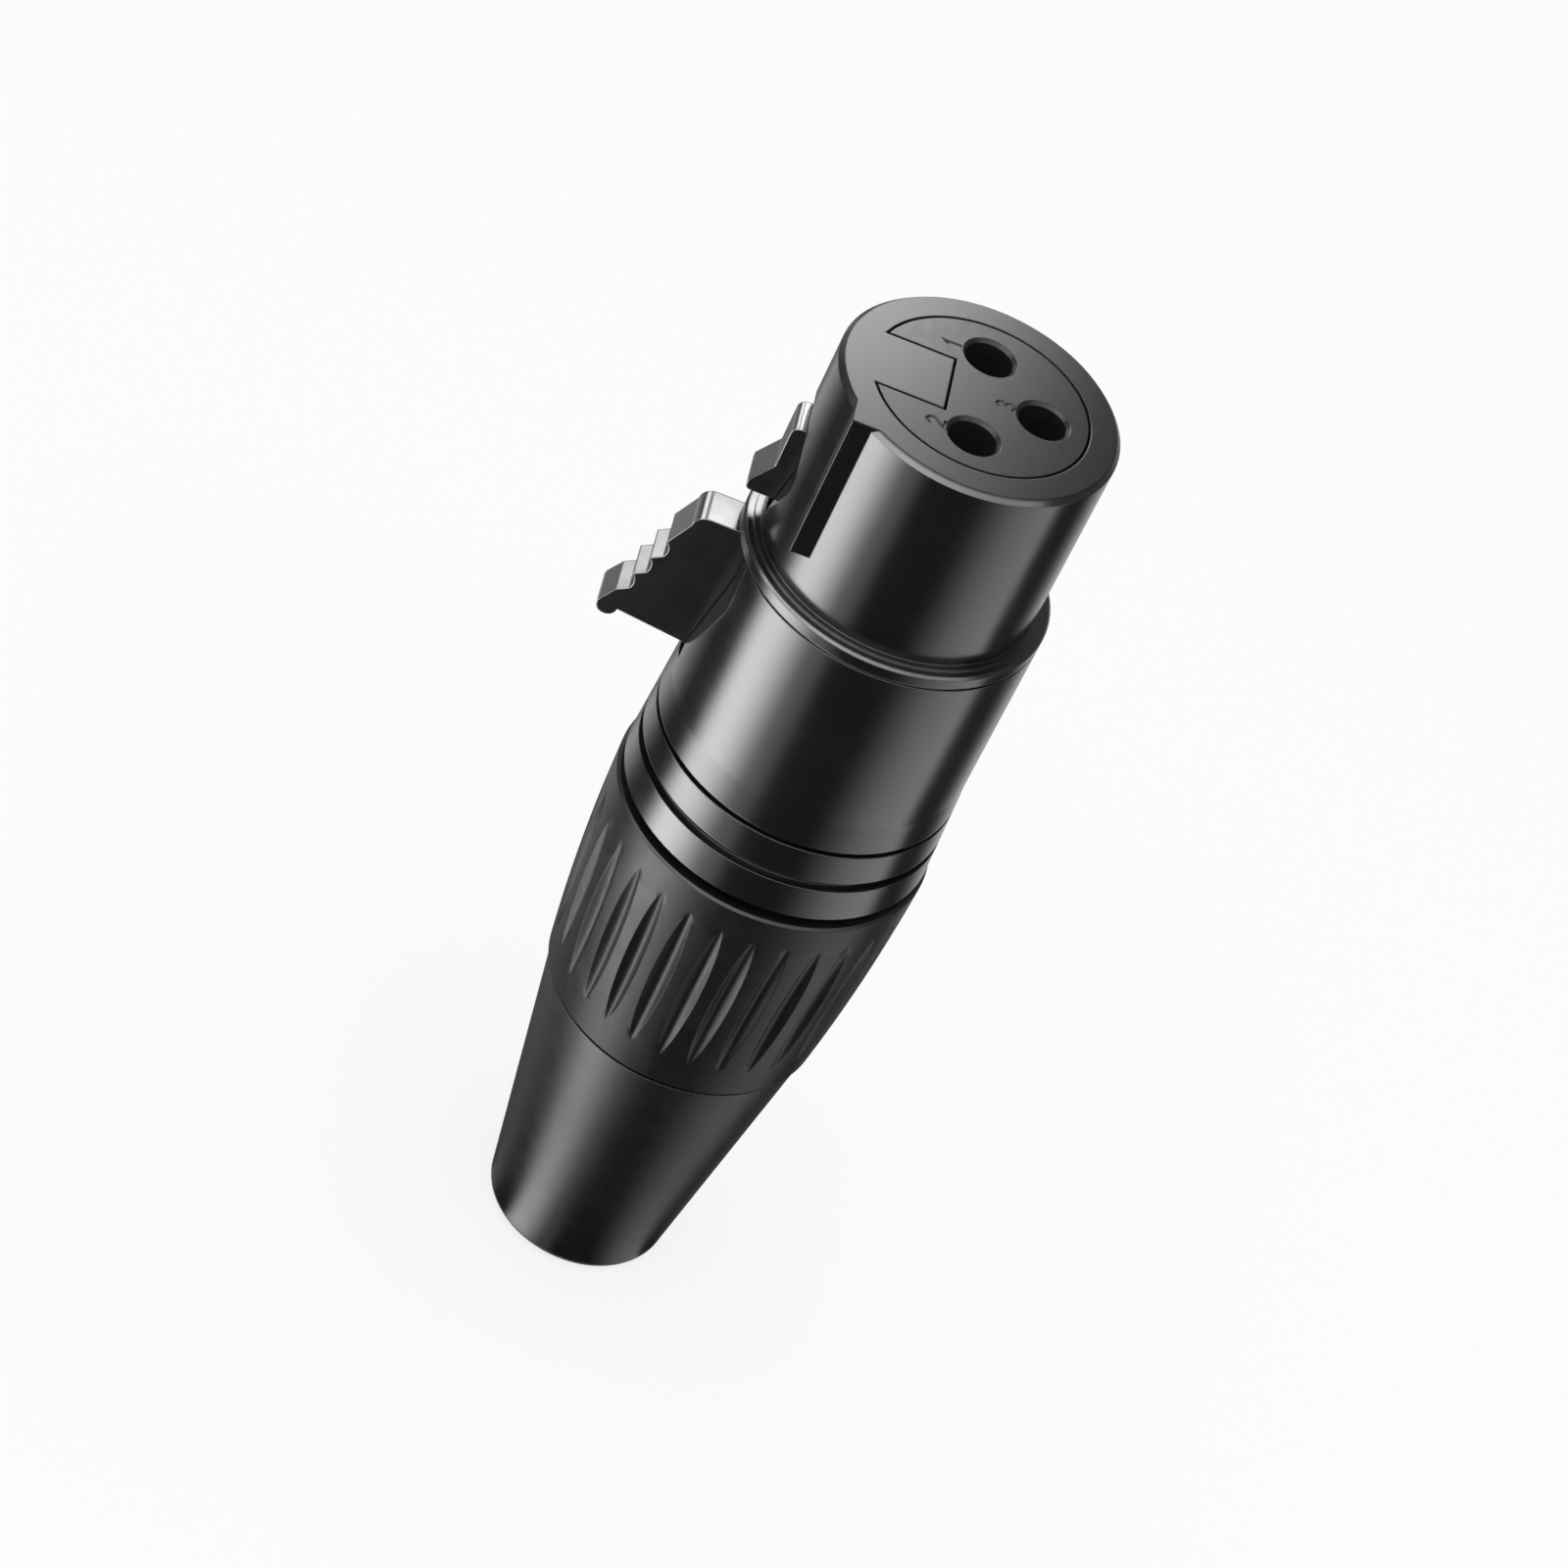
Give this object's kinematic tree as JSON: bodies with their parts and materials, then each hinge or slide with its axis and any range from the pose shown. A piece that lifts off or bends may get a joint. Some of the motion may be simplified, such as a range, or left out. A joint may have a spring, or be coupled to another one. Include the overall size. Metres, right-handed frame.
{
  "type": "female xlr connector",
  "caption": "Straight female cable connector with three numbered sockets, keyed nose, thumb latch, fluted clamp nut and tapered boot.",
  "frame": {"origin": "centre of the boot's cable end, where the connector stands on it", "axes": "+Z along the connector's axis towards the mating face; +X towards the latch"},
  "size_m": [0.0236, 0.0188, 0.0675],
  "materials": {
    "shell_metal": "glossy black plated die-casting",
    "latch_metal": "glossy black plated die-casting",
    "ring_plastic": "gloss moulded",
    "insert_plastic": "fine satin moulded",
    "contact_gold": "turned and gold plated",
    "lug_metal": "tinned strip",
    "pin_steel": "cold rolled strip and wire",
    "chuck_plastic": "natural moulded",
    "nut_plastic": "satin moulded",
    "boot_rubber": "soft satin moulded"
  },
  "bodies": {
    "housing": {"shell": "shell_metal", "coding_ring": "ring_plastic", "contact_block": "insert_plastic", "contact_retainer": "insert_plastic", "contact_1": "contact_gold", "contact_2": "contact_gold", "contact_3": "contact_gold", "ground_lug": "lug_metal", "latch_spring": "pin_steel"},
    "latch": {"latch_lever": "latch_metal", "latch_pin": "pin_steel"},
    "clamp": {"chuck": "chuck_plastic"},
    "nut": {"gland_nut": "nut_plastic", "boot_sleeve": "boot_rubber"}
  },
  "joints": [
    {"name": "latch_press", "type": "hinge", "parent": "housing", "child": "latch", "pos_m": [0.0044, 0, 0.0649], "axis": [0, 1, 0], "range_deg": [0, 11], "stiffness_Nm_per_rad": 0.05, "springref_deg": -20.05, "deforming": ["latch_spring"]},
    {"name": "clamp_slide", "type": "slide", "parent": "housing", "child": "clamp", "axis": [0, 0, -1], "range_m": [0, 0.005]},
    {"name": "nut_turn", "type": "hinge", "parent": "clamp", "child": "nut", "pos_m": [0, 0, 0.03], "axis": [0, 0, -1], "range_deg": [0, 1800]}
  ],
  "couplings": [
    {"joint": "nut_turn", "follows": "clamp_slide", "rad_per_m": 6283.2}
  ]
}
